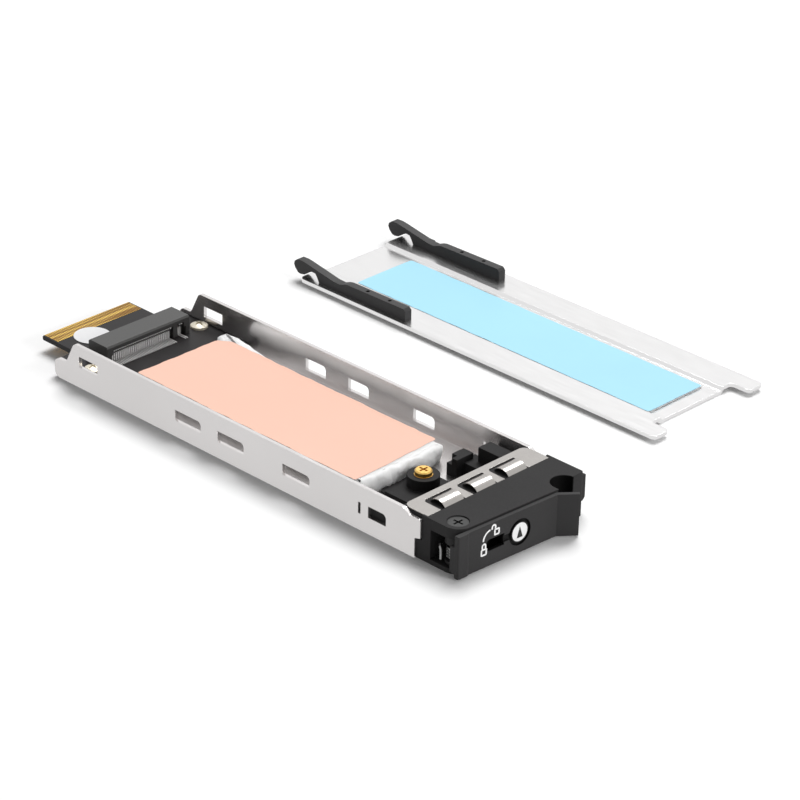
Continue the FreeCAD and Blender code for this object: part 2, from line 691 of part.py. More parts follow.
rectangle(channel, 4.6, lock_up - 0.7, lock_across - 1, lock_up + 0.7)
pocket(handle, channel, 1.3)
slot = new_sketch(handle, "XZ_Plane", handle_face + 1)
rectangle(slot, 3.1, lock_up - 1.2, 7.7, lock_up + 1.2)
pocket(handle, slot, 3)
shaft = new_sketch(handle, "XZ_Plane", handle_face + 1)
circle(shaft, lock_across, lock_up, 1.4 + fit)
pocket(handle, shaft, 5)
rounded(handle, 1.1, lambda p, d: abs(d.y) > 0.99 and near(p.x, 3.1))
rounded(handle, 0.3, lambda p, d: along_z(d) and near(p.x, -handle_left) and near(p.y, -handle_face - 0.25))
bind(handle, ".Placement.Base.x", pivot_across)
bind(handle, ".Placement.Base.y", pivot_along)
handle.Placement.Rotation = FreeCAD.Rotation(Vector(0, 0, 1), -float(handle_turn))
bind(handle, ".Placement.Rotation.Angle", -1 * handle_turn)

# The pivot screw: countersunk in the top plate, its shank down into the base plate.
pivot = new_body("pivot_screw")
turned(pivot, "Revolution", [
    (0, 0.35), (pivot_shank, 0.35), (pivot_shank, front_top - 1.12), (1.98, front_top - 0.2), (0, front_top - 0.2)])
cross_recess(pivot, front_top - 0.2, 1.15, 0.2, 0.5)
placed(pivot, pivot_across, pivot_along)

# ---------------------------------------------------------------- lock rotor in the handle's face
rotor = new_body("lock_rotor")
disc = new_sketch(rotor, "XZ_Plane", handle_face)
circle(disc, 0, 0, lock_head)
pad(rotor, disc, 0.45, reverse=True)
stem = new_sketch(rotor, "XZ_Plane", handle_face - 0.2)
circle(stem, 0, 0, 1.4)
pad(rotor, stem, 2.2, reverse=True)
tongue = new_sketch(rotor, "XZ_Plane", handle_face - 2.2)
rectangle(tongue, -0.7, -1.2, 0.7, 2.3)
pad(rotor, tongue, 0.55, reverse=True)
arrow = new_sketch(rotor, "XZ_Plane", handle_face)
outline(arrow, [(-0.75, -1.15), (0.75, -1.15), (0, 1.2)])
pocket(rotor, arrow, 0.06, reverse=False)
turn = math.radians(float(handle_turn))
bind(rotor, ".Placement.Base.x", pivot_across + lock_across * math.cos(turn))
bind(rotor, ".Placement.Base.y", pivot_along - lock_across * math.sin(turn))
bind(rotor, ".Placement.Base.z", lock_up)
rotor.Placement.Rotation = FreeCAD.Rotation(Vector(0, 0, 1), -float(handle_turn))
bind(rotor, ".Placement.Rotation.Angle", -1 * handle_turn)

# ---------------------------------------------------------------- handle spring
# A torsion spring round the handle's sleeve, one leg out to the open side and up, one leg back.
wire = 0.25
coil = 1.85
pitch = 0.56
steps = 14
spots = [Vector(coil, -2.0, 0), Vector(coil, -1.0, 0)]
for step in range(4 * steps + 1):
    angle = step * 2 * math.pi / steps
    spots.append(Vector(coil * math.cos(angle), coil * math.sin(angle), pitch * step / steps))
spots += [Vector(1.7, 1.1, 2.38), Vector(0.9, 2.05, 2.46), Vector(-0.3, 2.35, 2.48), Vector(-1.5, 2.3, 2.48),
          Vector(-2.3, 2.1, 2.46), Vector(-2.66, 1.75, 2.25), Vector(-2.75, 1.5, 1.8), Vector(-2.75, 1.45, 0.9),
          Vector(-2.75, 1.45, -0.2)]
rings = []
side = Vector(0, 0, 1)
for i, spot in enumerate(spots):
    ahead = (spots[min(i + 1, len(spots) - 1)] - spots[max(i - 1, 0)]).normalize()
    side = (side - ahead * side.dot(ahead)).normalize()
    other = ahead.cross(side)
    corners = [spot + (side * math.cos(a) + other * math.sin(a)) * wire
               for a in [k * math.pi / 4 for k in range(8)]]
    rings.append(Part.makePolygon(corners + corners[:1]))
spring_shape = Part.makeLoft(rings, True, True)
pivot_foot = Vector(float(pivot_across), float(pivot_along), 2.15)
spring = doc.addObject("Part::Feature", "handle_spring")
spring.Label = "handle_spring"
spring.Shape = spring_shape
spring.Placement = FreeCAD.Placement(pivot_foot, FreeCAD.Rotation())
parts.append(spring)

# ---------------------------------------------------------------- side catch
catch = new_body("side_catch")
side_view = new_sketch(catch, "XZ_Plane", -1 * (pivot_along + 0.4))
outline(side_view, [
    (front_half - 1.05, 2.65), (front_half + catch_reach - 0.9, 2.65), (front_half + catch_reach, 3.6),
    (front_half + catch_reach, front_top - 1.6), (front_half + catch_reach - 0.3, front_top - 1.3),
    (front_half - 1.05, front_top - 1.3)])
pad(catch, side_view, corner - 0.15)
rounded(catch, 0.5, lambda p, d: along_z(d) and near(p.x, front_half + catch_reach))

# ---------------------------------------------------------------- lid, upside down beside the tray
lid = new_body("lid_plate")
profile = new_sketch(lid, "XZ_Plane", -1 * lid_front)
outline(profile, [
    (-lid_half, lid_step), (-lid_channel - 0.5, lid_step), (-lid_channel, 0), (lid_channel, 0),
    (lid_channel + 0.5, lid_step), (lid_half, lid_step), (lid_half, lid_step + metal),
    (lid_channel + 0.2, lid_step + metal), (lid_channel - 0.3, metal), (0.3 - lid_channel, metal),
    (-lid_channel - 0.2, lid_step + metal), (-lid_half, lid_step + metal)])
pad(lid, profile, lid_rear - lid_front, reverse=True)
tabs = new_sketch(lid, "XY_Plane", lid_step)
for side in (-1, 1):
    outline(tabs, [
        (side * (lid_half - 4.4), lid_front - 4.65), (side * lid_half, lid_front - 4.65),
        (side * lid_half, lid_front + 0.5), (side * (lid_half - 4.4), lid_front + 0.5)])
pad(lid, tabs, metal)
rounded(lid, 1.4, lambda p, d: along_z(d) and near(p.y, lid_rear))
rounded(lid, 1.0, lambda p, d: along_z(d) and near(p.y, lid_front - 4.65))
rounded(lid, 0.9, lambda p, d: along_z(d) and near(p.y, lid_front) and near(abs(p.x), lid_half - 4.4))
placed(lid, across=lid_across)

lid_pad = new_body("lid_pad")
soft = new_sketch(lid_pad, "XY_Plane", metal)
rectangle(soft, 0.3 - lid_channel, lid_front + 3.3, lid_channel - 1.8, lid_rear - 9.6)
pad(lid_pad, soft, 0.4)
placed(lid_pad, across=lid_across)
lid_film = new_body("lid_pad_film")
cover = new_sketch(lid_film, "XY_Plane", metal + 0.4)
rectangle(cover, 0.35 - lid_channel, lid_front + 3.45, lid_channel - 1.8, lid_rear - 9.6)
pad(lid_film, cover, foil)
placed(lid_film, across=lid_across)

flange = lid_step + metal
for name, side in (("lid_rail_left", -1), ("lid_rail_right", 1)):
    rail = new_body(name)
    outer = lid_half - (rail_inset if side < 0 else rail_inset_far)
    middle_line = side * (outer - rail_width / 2)
    side_view = new_sketch(rail, "YZ_Plane", middle_line)
    outline(side_view, [
        (lid_rear + along, flange + up) for along, up in (
            (-30.2, 0), (-30.2, rail_height - 0.6), (-29.6, rail_height), (-13.2, rail_height - 0.2),
            (-12.3, rail_height - 0.4), (-11.0, rail_height - 0.9), (-9.2, rail_height - 0.85),
            (-1.0, rail_height + 0.6), (0.2, rail_height + 0.75), (1.8, rail_height + 0.7),
            (2.6, rail_height + 0.1), (2.8, 2.0), (2.4, 1.2), (1.6, 0.4), (0.8, 0.25), (-0.4, 0.5), (-1.8, 1.5),
            (-2.7, 1.9), (-3.7, 1.8), (-4.4, 0.8), (-4.8, 0))])
    pad(rail, side_view, rail_width, both=True)
    if side > 0:
        bump = new_sketch(rail, "XY_Plane", flange)
        outline(bump, [(outer + 0.5, lid_rear - 9), (outer + 0.5, lid_rear - 7), (outer - 0.2, lid_rear - 5.8),
                       (outer - 0.2, lid_rear - 10.2)])
        pad(rail, bump, 1.7)
    holes = new_sketch(rail, "XY_Plane", flange + rail_height)
    for from_rear in (24.8, 18.4):
        circle(holes, middle_line, lid_rear - from_rear, 0.42)
    pocket(rail, holes, 1.2)
    placed(rail, across=lid_across)

# ---------------------------------------------------------------- check and write
doc.recompute()
for item in doc.Objects:
    if "Invalid" in item.State or "Error" in item.State:
        raise RuntimeError("%s is in error" % item.Name)
os.makedirs("parts", exist_ok=True)
for part in parts:
    shape = part.Shape
    if shape.isNull() or not shape.isValid() or not shape.Solids:
        raise RuntimeError("%s has no sound shape" % part.Label)
    if (part.TypeId == "PartDesign::Body" or part is spring) and len(shape.Solids) != 1:
        raise RuntimeError("%s is in %d pieces" % (part.Label, len(shape.Solids)))
    shape.exportStep(os.path.join("parts", part.Label + ".step"))
    box = shape.BoundBox
    print("%-24s %9.1f mm3  x %6.1f..%6.1f  y %6.1f..%6.1f  z %5.2f..%5.2f" % (
        part.Label, shape.Volume, box.XMin, box.XMax, box.YMin, box.YMax, box.ZMin, box.ZMax))
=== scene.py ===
"""Drive tray with its adapter card and its loose lid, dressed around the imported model.

Sizes are in millimetres, and are turned into metres where Blender takes them.
"""
import bpy
import math
from mathutils import Matrix, Vector, noise


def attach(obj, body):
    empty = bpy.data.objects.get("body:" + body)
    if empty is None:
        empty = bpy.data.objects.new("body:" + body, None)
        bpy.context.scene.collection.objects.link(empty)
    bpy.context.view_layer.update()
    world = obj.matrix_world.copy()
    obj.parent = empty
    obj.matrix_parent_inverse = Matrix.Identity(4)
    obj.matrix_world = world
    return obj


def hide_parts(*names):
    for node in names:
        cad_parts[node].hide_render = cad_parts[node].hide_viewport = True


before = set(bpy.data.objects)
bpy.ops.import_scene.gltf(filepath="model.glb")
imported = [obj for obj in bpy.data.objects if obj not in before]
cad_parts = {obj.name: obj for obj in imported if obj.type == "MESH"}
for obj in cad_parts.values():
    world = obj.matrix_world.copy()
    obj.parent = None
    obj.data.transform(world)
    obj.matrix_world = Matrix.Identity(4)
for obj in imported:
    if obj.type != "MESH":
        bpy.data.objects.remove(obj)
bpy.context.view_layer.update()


# ---------------------------------------------------------------- tray pan
# The tray's body: one aluminium sheet, punched with windows and folded into a channel, then
# plated to a light satin grey. Fine rolling lines run along it.
MM = 0.001
PLATE_DULL, PLATE_BRIGHT = (0.65, 0.63, 0.625), (0.70, 0.68, 0.675)
ROLLED_ALONG = (1, 0.05, 1)
NOISE_LOW, NOISE_HIGH = 0.3, 0.7


class Wire:
    """One output of a node; arithmetic and comparisons on it add Math nodes."""

    def __init__(self, nodes, socket):
        self.nodes = nodes
        self.socket = socket

    def other(self, output):
        """Another output of the same node."""
        return Wire(self.nodes, self.socket.node.outputs[output])

    def maths(self, operation, *values):
        """A Math node on those values."""
        return self.nodes.add("ShaderNodeMath", {"operation": operation}, dict(enumerate(values)))

    def __add__(self, value):
        return self.maths("ADD", self, value)

    def __sub__(self, value):
        return self.maths("SUBTRACT", self, value)

    def __rsub__(self, value):
        return self.maths("SUBTRACT", value, self)

    def __mul__(self, value):
        return self.maths("MULTIPLY", self, value)

    def __lt__(self, value):
        return self.maths("LESS_THAN", self, value)

    def __gt__(self, value):
        return self.maths("GREATER_THAN", self, value)

    __radd__ = __add__
    __rmul__ = __mul__


class NodeTree:
    """A tree of shader nodes; one method adds a node of any kind."""

    def __init__(self, tree):
        self.tree = tree

    def add(self, kind, settings=None, sockets=None, output=0):
        """Adds a node: its settings first, then the values or links of its sockets."""
        node = self.tree.nodes.new(kind)
        for name, value in (settings or {}).items():
            setattr(node, name, value)
        for name, value in (sockets or {}).items():
            self.link(value, node.inputs[name])
        return Wire(self, node.outputs[output])

    def link(self, value, socket):
        """Links a wire to the socket, or sets the socket to a plain value."""
        if isinstance(value, Wire):
            self.tree.links.new(value.socket, socket)
        elif isinstance(value, tuple) and socket.type == "RGBA":
            socket.default_value = (*value, 1)
        else:
            socket.default_value = value


class Finish(NodeTree):
    """A material being mixed, named after the real finish."""

    def __init__(self, name, **settings):
        self.material = bpy.data.materials.new(name)
        self.material.use_nodes = True
        super().__init__(self.material.node_tree)
        self.surface = self.tree.nodes["Principled BSDF"]
        for socket, value in settings.items():
            self.feed(socket.replace("_", " ").title().replace("Ior", "IOR"), value)

    def feed(self, name, value):
        """Sets or links one socket of the surface shader."""
        self.link(value, self.surface.inputs[name])

    def place(self):
        """Position on the piece, in metres."""
        return self.add("ShaderNodeTexCoord", output="Object")

    def noise(self, per_metre, detail=3.0, roughness=0.55, stretch=(1, 1, 1)):
        """A cloudy pattern with so many clouds to the metre."""
        where = self.add("ShaderNodeMapping", {}, {"Vector": self.place(), "Scale": stretch})
        return self.add("ShaderNodeTexNoise", {}, {
            "Vector": where, "Scale": per_metre, "Detail": detail, "Roughness": roughness})

    def between(self, low, high, amount):
        """A colour from low to high; the Mix node's colour sockets are 6 and 7, its colour output 2."""
        return self.add("ShaderNodeMix", {"data_type": "RGBA"}, {0: amount, 6: low, 7: high}, output=2)

    def level(self, value, low, high, to_low=0.0, to_high=1.0):
        """A value that goes from to_low to to_high while the given one goes from low to high."""
        return self.add("ShaderNodeMapRange", {}, {
            "Value": value, "From Min": low, "From Max": high, "To Min": to_low, "To Max": to_high})

    def paint(self, low, high, pattern):
        """Lets the colour vary from low to high with the pattern."""
        self.feed("Base Color", self.between(low, high, pattern))

    def polish(self, pattern, smooth, rough):
        """Lets the roughness vary with a noise pattern."""
        self.feed("Roughness", self.level(pattern, NOISE_LOW, NOISE_HIGH, smooth, rough))

    def relief(self, height, depth, strength=1.0, over=None):
        """Bumps the surface by the height, over a normal that is already softened where one is given."""
        sockets = {"Height": height, "Distance": depth * MM, "Strength": strength}
        if over is not None:
            sockets["Normal"] = over
        self.feed("Normal", self.add("ShaderNodeBump", {}, sockets))

    def edges(self, radius, grain=None, depth=0.0, strength=1.0):
        """Softens the look of sharp edges, with an optional grain on top."""
        soft = self.add("ShaderNodeBevel", {"samples": 6}, {"Radius": radius * MM})
        if grain is None:
            self.feed("Normal", soft)
        else:
            self.relief(grain, depth, strength, over=soft)


def dress(node, finish):
    """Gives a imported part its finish."""
    for material_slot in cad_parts[node].material_slots:
        material_slot.material = finish.material


plated = Finish("satin_plated_sheet", metallic=0.85)
rolling = plated.noise(2600, 2.0, 0.5, ROLLED_ALONG)
plated.paint(PLATE_DULL, PLATE_BRIGHT, plated.noise(60, 2.0, 0.5))
plated.polish(rolling, 0.17, 0.23)
plated.edges(0.12, rolling, 0.004, 0.5)
dress("tray_pan", plated)


# ---------------------------------------------------------------- adapter board
# The card itself: one millimetre of glass fibre laminate under black solder mask, routed to
# shape and laid on the pan's floor.
MASK_DARK, MASK_LIGHT = (0.012, 0.0105, 0.011), (0.020, 0.018, 0.0185)
mask = Finish("black_solder_mask", specular_ior_level=0.12)
blotch = mask.noise(300)
mask.paint(MASK_DARK, MASK_LIGHT, blotch)
mask.polish(blotch, 0.34, 0.46)
dress("adapter_board", mask)


# ---------------------------------------------------------------- edge contacts
# Copper fingers etched on both faces of the card's tongue and gold plated, worn in bands by the
# slot that they slide into.
GOLD_WORN, GOLD_BRIGHT = (0.34, 0.17, 0.03), (0.84, 0.55, 0.13)
BANDS_ACROSS, BAND_LOW, BAND_HIGH = (0.03, 1, 1), 0.40, 0.58
gold = Finish("gold_plate", metallic=1.0, roughness=0.24)
wear = gold.level(gold.noise(1500, 2.0, 0.5, BANDS_ACROSS), BAND_LOW, BAND_HIGH)
gold.paint(GOLD_WORN, GOLD_BRIGHT, wear)
dress("edge_contacts", gold)


# ---------------------------------------------------------------- drive socket
# The socket that a drive card slides into: a smooth, greyish black moulding soldered to the
# board. Two rows of tin plated blades come out in front of it as solder tails.
TIN_DULL, TIN_BRIGHT = (0.90, 0.89, 0.87), (0.97, 0.96, 0.95)
tin = Finish("tin_plate", metallic=0.3, roughness=0.3)
tin.paint(TIN_DULL, TIN_BRIGHT, tin.noise(1500))
dress("drive_socket_contacts", tin)

SOCKET_DARK, SOCKET_LIGHT = (0.036, 0.036, 0.035), (0.046, 0.045, 0.044)
socket_plastic = Finish("socket_plastic", specular_ior_level=0.35)
sheen = socket_plastic.noise(3800, 2.0, 0.5)
socket_plastic.paint(SOCKET_DARK, SOCKET_LIGHT, sheen)
socket_plastic.polish(sheen, 0.40, 0.50)
socket_plastic.edges(0.1)
dress("drive_socket", socket_plastic)


# ---------------------------------------------------------------- board screws
# Two nickel plated pan head screws that hold the board down to the pan, each on a bare tinned
# ring of the board. Screws and rings have a warm cream cast.
NICKEL_DULL, NICKEL_BRIGHT = (0.66, 0.60, 0.48), (0.84, 0.79, 0.67)
nickel = Finish("bright_nickel", metallic=0.5, roughness=0.42)
nickel.paint(NICKEL_DULL, NICKEL_BRIGHT, nickel.noise(800))
for piece in ("board_screws", "board_screw_rings"):
    dress(piece, nickel)


# ---------------------------------------------------------------- round label
# A disc of white paper, die cut and stuck to the board behind the socket. It is bare, so only
# its fibres show.
PAPER_DARK, PAPER_LIGHT = (0.77, 0.77, 0.78), (0.84, 0.84, 0.85)
paper = Finish("white_paper", roughness=0.75)
fibres = paper.noise(2400, 4.0, 0.7)
paper.paint(PAPER_DARK, PAPER_LIGHT, fibres)
paper.relief(fibres, 0.01, 0.5)
dress("round_label", paper)


# ---------------------------------------------------------------- drive boss
# The post that carries the free end of a drive card. Its foot and post are one moulding of glass
# filled plastic, from a lightly spark-eroded mould: dark, matt and finely grained.
MOULDED_DARK, MOULDED_LIGHT = (0.028, 0.0275, 0.028), (0.037, 0.036, 0.0365)
# Painted shade: a near black that stands in for the shade inside deep recesses.
PAINTED_SHADE_BLACK = (0.002, 0.002, 0.002)


def black_moulding(name, recess=None, gloss=0.06):
    """The black plastic; where a recess mask is given, near-black painted shade covers the recess walls.
    """
    finish = Finish(name, specular_ior_level=gloss)
    grain = finish.noise(5200, 2.0, 0.6)
    colour = finish.between(MOULDED_DARK, MOULDED_LIGHT, finish.noise(90, 2.0, 0.5))
    if recess:
        # Painted shade: the recess walls turn near black, in place of the shade that falls inside them.
        colour = finish.between(colour, PAINTED_SHADE_BLACK, recess(finish))
    finish.feed("Base Color", colour)
    finish.polish(grain, 0.52, 0.66)
    finish.edges(0.15, grain, 0.01, 0.6)
    return finish


moulded = black_moulding("moulded_black_plastic")
dress("drive_boss", moulded)


# ---------------------------------------------------------------- boss insert and drive screw
# A threaded insert pressed into the boss, and the cross head screw in it. Both are turned from
# brass and show fine tool marks.
BRASS_DULL, BRASS_BRIGHT = (0.54, 0.32, 0.08), (0.78, 0.52, 0.17)
brass = Finish("turned_brass", metallic=1.0, roughness=0.3)
brass.paint(BRASS_DULL, BRASS_BRIGHT, brass.noise(900))
brass.edges(0.06)
dress("boss_insert", brass)
dress("drive_screw", brass)


# ---------------------------------------------------------------- thermal pad
# A slab of soft white gel, cut to size and pressed onto the pan's floor. Its edges slump, its
# front crumbles, and one far corner has crept up over the board.
PAD_FLOOR, ON_BOARD, UNDER_FILM = 2.33, 3.38, 5.98
BOARD_BEGINS, FRONT_ENDS = 79.6, 20.2
CRUMBS_PER_MM, CRUMB_DEPTH, CRUMB_LIFT, CRUMB_APART = 1.1, 0.5, 0.4, Vector((9, 0, 0))
FOOT_LEFT_OF, FOOT_BEHIND, FOOT_TOP, FOOT_RISE, FOOT_DRAWN_IN = -9, 22, 4.5, 2.2, 2.8
PAD_OUTLINE = [(-12.5, 19.0), (-2.0, 18.3), (7.4, 18.3), (10.2, 19.2), (10.7, 40.0), (10.8, 66.0),
               (12.4, 73.0), (13.4, 79.0), (13.2, 82.6), (10.4, 82.6), (8.6, 79.9), (-12.5, 79.9)]
PAD_PROFILE = [(0.3, PAD_FLOOR), (-0.05, 2.9), (-0.15, 3.8), (0.0, 4.8), (0.25, 5.5), (0.6, 5.88),
               (1.2, 5.99)]
PAD_WOBBLE = 0.35
GEL_DARK, GEL_LIGHT = (0.88, 0.88, 0.87), (0.94, 0.94, 0.935)
POINT_SPACING = 0.5
WAVES_PER_MM, RIPPLE_FINER, RIPPLE_SHARE, RIPPLE_APART = 0.35, 3.5, 0.4, 40


def mesh_piece(name, points, faces, finish, body, smooth=True):
    """A new piece from points in millimetres, riding on that body."""
    mesh = bpy.data.meshes.new(name)
    mesh.from_pydata([Vector(point) * MM for point in points], [], faces)
    mesh.polygons.foreach_set("use_smooth", [smooth] * len(mesh.polygons))
    mesh.materials.append(finish.material)
    mesh.update()
    piece = bpy.data.objects.new(name, mesh)
    bpy.context.scene.collection.objects.link(piece)
    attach(piece, body)
    return piece


def eased(corners):
    """The outline as evenly spaced points, with its corners eased."""
    points = [Vector(corner).to_3d() for corner in corners]
    run = []
    for i, point in enumerate(points):
        ahead = points[(i + 1) % len(points)]
        steps = max(2, int((ahead - point).length / POINT_SPACING))
        run += [point.lerp(ahead, k / steps) for k in range(steps)]
    for easing in range(2):
        run = [run[i].lerp(run[(i + 1) % len(run)], 0.5) for i in range(len(run))]
    return run


def slab(name, corners, profile, wobble, finish, settle=None):
    """A slab that lies still with the tray, built of rings that follow the outline.

    The profile gives (drawn in by, height) from the foot up, and the wobble makes each ring wander;
    settle moves a point to where it comes to rest.
    """
    run = eased(corners)
    count = len(run)
    inward = []
    for i in range(count):
        tangent = (run[(i + 1) % count] - run[i - 1]).normalized()
        inward.append(Vector((-tangent.y, tangent.x, 0)))
    points = []
    for drawn_in, height in profile:
        for point, side in zip(run, inward):
            wave = noise.noise(Vector((point.x, point.y, height)) * WAVES_PER_MM)
            beyond = Vector((point.x + RIPPLE_APART, point.y, height * 2))
            ripple = noise.noise(beyond * WAVES_PER_MM * RIPPLE_FINER)
            spot = point + side * (drawn_in + wobble * (wave + RIPPLE_SHARE * ripple))
            spot.z = height
            points.append(settle(spot) if settle else spot)
    faces = []
    for ring in range(len(profile) - 1):
        low, high = ring * count, (ring + 1) * count
        for i in range(count):
            j = (i + 1) % count
            faces.append((low + i, low + j, high + j, high + i))
    faces.append(tuple(range(count))[::-1])
    faces.append(tuple(range(high, high + count)))
    piece = mesh_piece(name, points, faces, finish, "tray")
    for cap in piece.data.polygons[-2:]:
        cap.use_smooth = False
    return piece


def settled_gel(spot):
    """Lies on the board at the far end, crumbles in front, and its foot draws in along the left."""
    if spot.y > BOARD_BEGINS:
        spot.z = max(spot.z, ON_BOARD)
    if spot.y < FRONT_ENDS:
        crumb = Vector((spot.x, spot.y, spot.z)) * CRUMBS_PER_MM
        spot.y += CRUMB_DEPTH * noise.noise(crumb) + CRUMB_DEPTH / 2 * noise.noise(crumb * 3)
        lift = CRUMB_LIFT * noise.noise(crumb + CRUMB_APART)
        spot.z = max(PAD_FLOOR, min(spot.z + lift, UNDER_FILM))
    elif spot.x < FOOT_LEFT_OF and spot.z < FOOT_TOP and spot.y > FOOT_BEHIND:
        spot.x += FOOT_DRAWN_IN * (1 - ((spot.z - PAD_FLOOR) / FOOT_RISE) ** 2)
    return spot


gel = Finish("white_thermal_gel", roughness=0.5, subsurface_weight=0.9, subsurface_scale=1.0,
             subsurface_radius=(0.0035, 0.0035, 0.0035))
gel.paint(GEL_DARK, GEL_LIGHT, gel.noise(500))
gel.relief(gel.noise(1100, 3.0, 0.6), 0.12, 0.6)
gel_slab = slab("gel_slab", PAD_OUTLINE, PAD_PROFILE, PAD_WOBBLE, gel, settle=settled_gel)
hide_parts("thermal_pad")


# ---------------------------------------------------------------- pad film
# The pad's release film, still on it: peach coloured plastic, smooth and faintly rippled, cut a
# little smaller than the gel at the front.
FILM_OUTLINE = [(-12.1, 20.4), (-4.0, 20.6), (4.0, 21.0), (10.5, 21.3), (10.6, 78.4), (8.9, 80.8),
                (-12.1, 81.0)]
FILM_PROFILE, FILM_WOBBLE = [(0, 6.0), (0, 6.04)], 0.2
PEACH_DARK, PEACH_LIGHT = (0.86, 0.505, 0.385), (0.87, 0.535, 0.415)


def film_ripple(finish):
    """The long, faint ripples of a thin film on a soft pad."""
    finish.relief(finish.noise(160, 1.0, 0.4), 0.1, 0.35)


peach = Finish("peach_film", roughness=0.4, specular_ior_level=0.4)
peach.paint(PEACH_DARK, PEACH_LIGHT, peach.noise(40))
film_ripple(peach)
pad_cover = slab("pad_cover_film", FILM_OUTLINE, FILM_PROFILE, FILM_WOBBLE, peach)
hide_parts("pad_film")


# ---------------------------------------------------------------- front moulding
# The tray's front, one moulding of the same black plastic, whose blocks reach back over the
# pan's floor. A round recess for the thumb is sunk in it behind the handle's tab, and its walls
# are painted near black as shade.
THUMB_ACROSS, THUMB_ALONG, THUMB_RADIUS = 11.0, -11.0, 3.0
THUMB_LOW, THUMB_HIGH = 1.2, 9.2


def round_spot(across, along, radius):
    """1 within that radius of the middle that across and along are measured from."""
    return (across * across + along * along) < radius ** 2


def thumb_recess_painted_shade(finish):
    """1 on the walls of the thumb recess, where shade is painted."""
    x = finish.add("ShaderNodeSeparateXYZ", {}, {"Vector": finish.place()}, output="X")
    across, along, height = (axis * 1000 for axis in (x, x.other("Y"), x.other("Z")))
    within = round_spot(across - THUMB_ACROSS, along - THUMB_ALONG, THUMB_RADIUS)
    return within * (height > THUMB_LOW) * (height < THUMB_HIGH)


# Painted shade: the thumb recess's walls are painted near black.
dress("front_bezel", black_moulding("black_plastic_bezel_painted_shade", thumb_recess_painted_shade))


# ---------------------------------------------------------------- side catch
# A small tongue of the same plastic, let into the right side of the front moulding, where it
# slides inwards by about a millimetre.
dress("side_catch", moulded)


# ---------------------------------------------------------------- spring strip
# A strip of bright spring sheet with three arched fingers, rolled along its length and clipped
# into the front moulding's groove. It earths the tray against its bay.
STRIP_DULL, STRIP_BRIGHT = (0.38, 0.362, 0.345), (0.43, 0.412, 0.395)
ROLLED_ACROSS = (0.05, 1, 1)
strip = Finish("bright_spring_sheet", metallic=1.0, roughness=0.22)
strip.paint(STRIP_DULL, STRIP_BRIGHT, strip.noise(700))
strip.edges(0.06, strip.noise(3000, 2.0, 0.5, ROLLED_ACROSS), 0.003, 0.5)
dress("spring_strip", strip)


# ---------------------------------------------------------------- handle spring
# A torsion spring of bright music wire, coiled round the handle's pivot and mostly hidden
# behind the handle.
WIRE_DULL, WIRE_BRIGHT = (0.18, 0.18, 0.18), (0.34, 0.34, 0.335)
music_wire = Finish("bright_wire", metallic=1.0, roughness=0.3)
music_wire.paint(WIRE_DULL, WIRE_BRIGHT, music_wire.noise(2000))
dress("handle_spring", music_wire)


# ---------------------------------------------------------------- eject handle
# A lever of the same plastic that swings out on its pivot at the left. Its face stands a few
# degrees off square, and the lock's slot and ring are sunk in it. The sunk walls round them are
# painted near black as shade.
HANDLE_TURN = math.radians(3.7)
UPRIGHT = Vector((0, 0, 1))
pivot = Vector((-13.6, -7.4, 0))
along_face = Vector((math.cos(HANDLE_TURN), -math.sin(HANDLE_TURN), 0))
out_of_face = Vector((-math.sin(HANDLE_TURN), -math.cos(HANDLE_TURN), 0))
SUNK_BELOW = 3.95
RECESS_LEFT, RECESS_RIGHT, RECESS_LOW, RECESS_HIGH = 2.6, 14.6, 1.8, 7.4


def measured(finish, direction):
    """How far a point is from the pivot in that direction, in millimetres."""
    run = finish.add("ShaderNodeVectorMath", {"operation": "DOT_PRODUCT"},
                     {0: finish.place(), 1: tuple(direction)}, output="Value")
    return run * 1000 - direction.dot(pivot)


def lock_recess_painted_shade(finish):
    """1 behind the face, round the lock's slot and ring, where shade is painted."""
    sunk = measured(finish, out_of_face) < SUNK_BELOW
    across, height = measured(finish, along_face), measured(finish, UPRIGHT)
    beside = (across > RECESS_LEFT) * (across < RECESS_RIGHT)
    return sunk * beside * (height > RECESS_LOW) * (height < RECESS_HIGH)


# Painted shade: the sunk walls round the lock's slot and ring are painted near black.
dress("eject_handle", black_moulding("black_plastic_handle_painted_shade", lock_recess_painted_shade, gloss=0.14))


# ---------------------------------------------------------------- marks on the handle
# White pad-printed outlines, each a thin film of ink on the face: a closed and an open padlock,
# with an arc from the one to the other.
INK_WHITE, INK_BRIGHT = (0.80, 0.80, 0.80), (0.95, 0.95, 0.95)
FACE_OUT, INK_FOOT, INK_FILM, INK_LINE = 4.07, -0.005, 0.015, 0.36
CORNER_RADIUS, CORNER_STEPS = 0.15, 4
white_ink = Finish("white_ink", roughness=0.5)
white_ink.paint(INK_WHITE, INK_BRIGHT, white_ink.noise(3000))


def on_face(along, height, out):
    """A point that far along the handle from its pivot, above the floor, and out from the pivot."""
    return pivot + along_face * along + out_of_face * out + Vector((0, 0, height))


